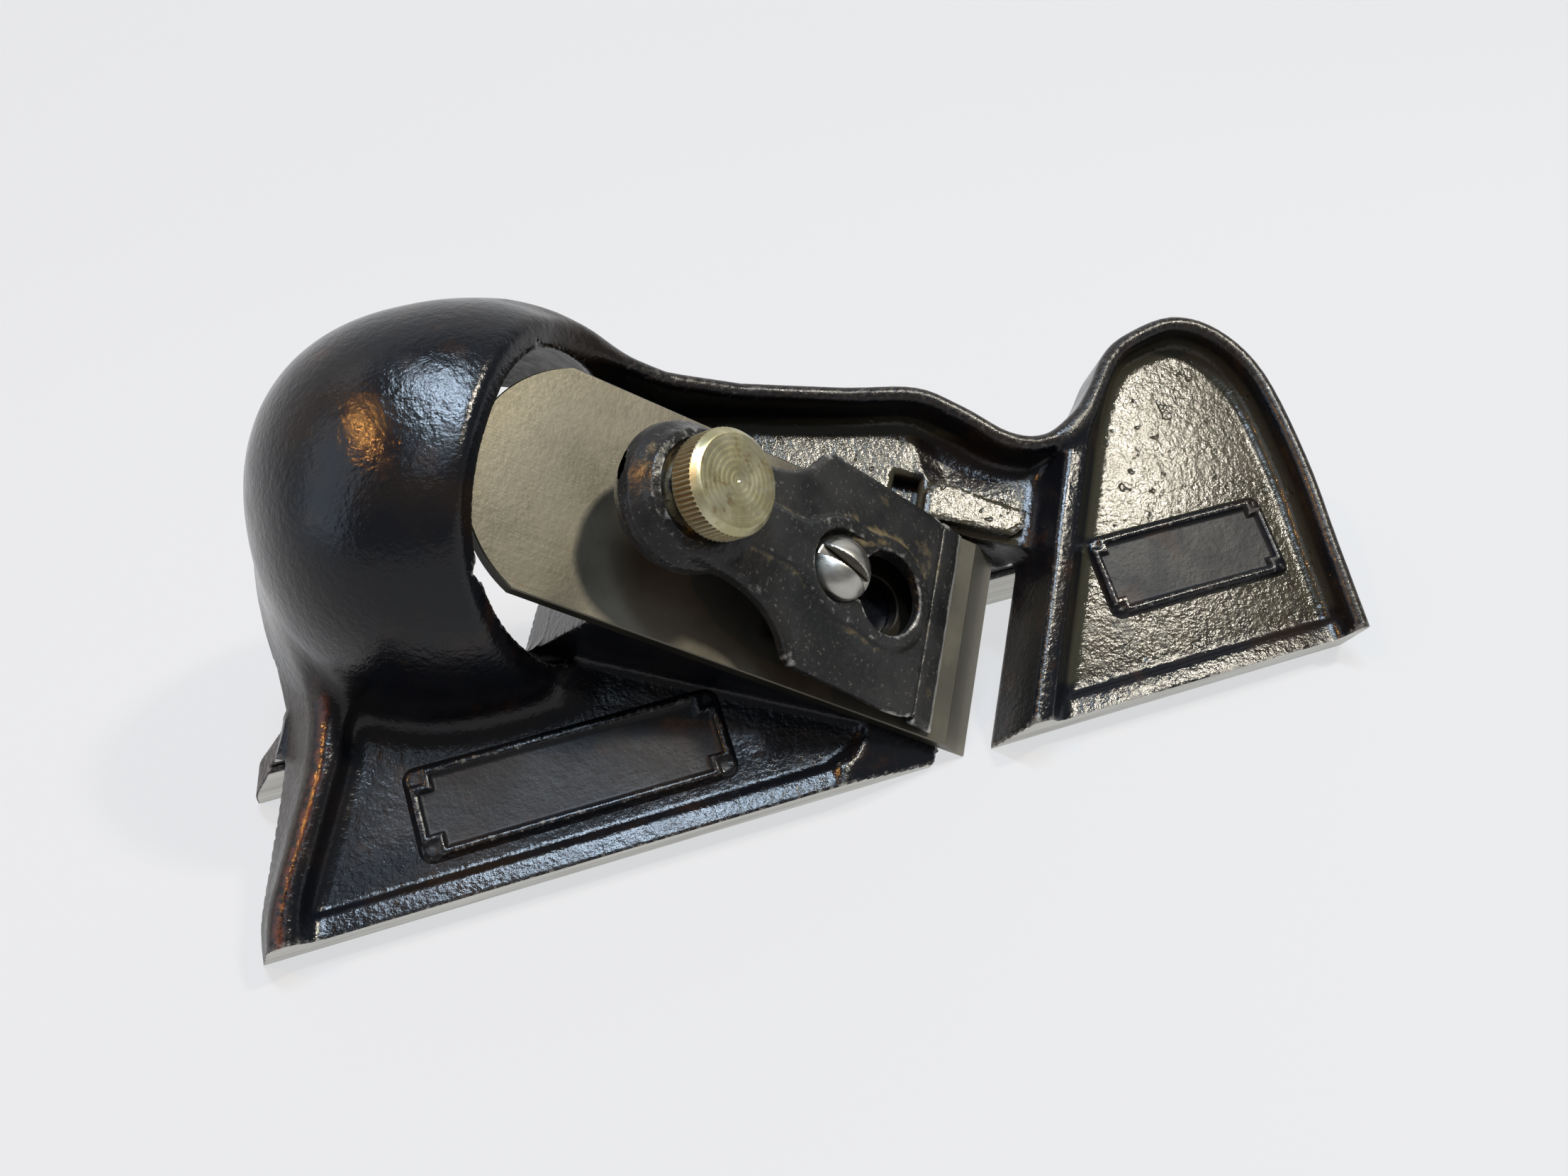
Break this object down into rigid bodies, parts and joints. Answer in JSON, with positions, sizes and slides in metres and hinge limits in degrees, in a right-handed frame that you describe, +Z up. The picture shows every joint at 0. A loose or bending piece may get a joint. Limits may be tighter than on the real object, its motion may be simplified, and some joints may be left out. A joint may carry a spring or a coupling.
{
  "type": "edge trimming block plane",
  "caption": "Small cast iron plane with an L-shaped sole, a palm hood, a skewed low-angle iron, and a lever cap held by a slotted screw and a knurled thumb screw.",
  "frame": {"origin": "bottom centre of the bounding box of the plane standing on its two free edges, as it rests on a bench", "axes": "+Z up, +X along the sole from the rear (palm hood) to the front grip, +Y towards the fence side"},
  "size_m": [0.1546, 0.0632, 0.0669],
  "materials": {
    "japanned_casting": "glossy black japanning, worn grey at the edges",
    "iron_steel": "dull ground steel with a yellowish patina",
    "japanned_cap": "worn dark blue-grey enamel",
    "knob_plating": "worn nickel plate with brown dirt in the knurl",
    "screw_steel": "scuffed bright steel"
  },
  "bodies": {
    "casting": {"body": "japanned_casting"},
    "iron": {"cutting_iron": "iron_steel"},
    "cap": {"lever_cap": "japanned_cap"},
    "thumb_screw": {"thumb_screw": "knob_plating"},
    "cap_screw": {"cap_screw": "screw_steel"}
  },
  "joints": [
    {"name": "iron_depth", "type": "slide", "parent": "casting", "child": "iron", "axis": [-0.8078, 0.094, 0.5819], "range_m": [-0.002, 0.004]},
    {"name": "cap_release", "type": "slide", "parent": "casting", "child": "cap", "axis": [-0.8078, 0.094, 0.5819], "range_m": [0, 0.008]},
    {"name": "thumb_screw_turn", "type": "hinge", "parent": "cap", "child": "thumb_screw", "pos_m": [-0.01092, -0.02536, 0.04976], "axis": [0.5076, -0.7355, 0.4487], "continuous": true},
    {"name": "cap_screw_turn", "type": "hinge", "parent": "casting", "child": "cap_screw", "pos_m": [0.00273, -0.0196, 0.03108], "axis": [0.3396, -0.7326, 0.5898], "continuous": true}
  ]
}
